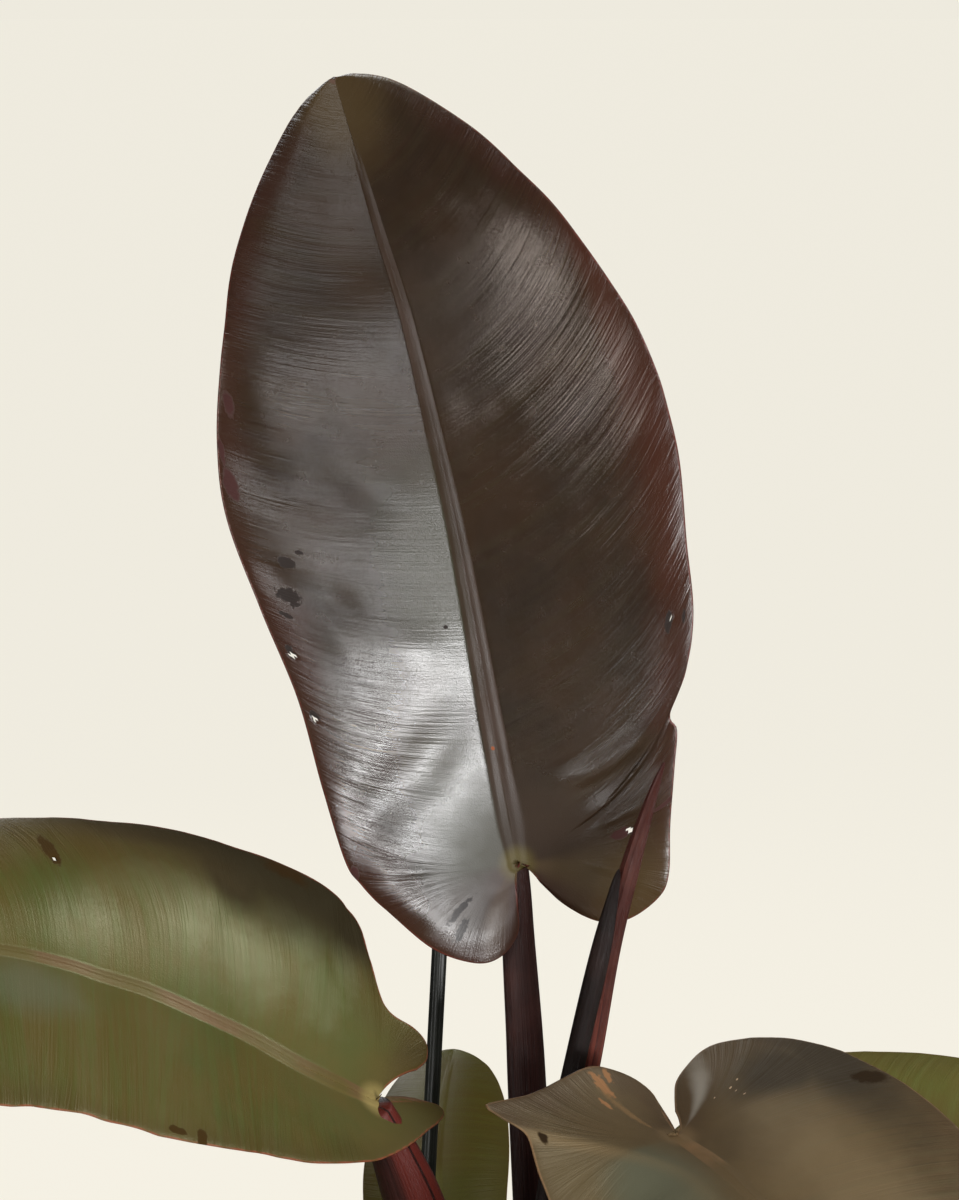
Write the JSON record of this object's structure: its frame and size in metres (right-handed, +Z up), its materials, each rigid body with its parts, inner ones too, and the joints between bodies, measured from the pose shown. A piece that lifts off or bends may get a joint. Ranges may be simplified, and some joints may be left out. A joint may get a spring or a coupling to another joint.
{
  "type": "potted black cardinal philodendron",
  "caption": "Potted foliage plant with large dark glossy leaves on red and purple stalks, a rolled new leaf, a thin support stake, soil and a plain round pot.",
  "frame": {"origin": "centre of the pot's base, on the surface that it stands on", "axes": "+Z up along the pot's axis, -Y towards the front, from which the tall main leaf shows its face, +X to the right seen from the front"},
  "size_m": [0.4569, 0.3684, 0.533],
  "materials": {
    "dark_leaf": "satin",
    "bronze_leaf": "satin",
    "green_leaf": "satin",
    "purple_stalk": "satin",
    "red_stalk": "satin",
    "new_leaf": "satin",
    "sheath": "matte",
    "stem": "matte",
    "stake": "satin",
    "soil": "matte",
    "pot": "matte"
  },
  "bodies": {
    "root": {"main_leaf_blade": "dark_leaf", "main_leaf_petiole": "purple_stalk", "left_front_leaf_blade": "bronze_leaf", "left_front_leaf_petiole": "red_stalk", "right_front_leaf_blade": "bronze_leaf", "right_front_leaf_petiole": "purple_stalk", "back_leaf_blade": "green_leaf", "back_leaf_petiole": "red_stalk", "right_back_leaf_blade": "green_leaf", "right_back_leaf_petiole": "red_stalk", "front_low_leaf_blade": "green_leaf", "front_low_leaf_petiole": "red_stalk", "left_back_leaf_blade": "green_leaf", "left_back_leaf_petiole": "red_stalk", "rolled_new_leaf": "new_leaf", "new_leaf_sheath": "sheath", "stem": "stem", "support_stake": "stake", "soil": "soil", "pot": "pot"}
  },
  "joints": []
}
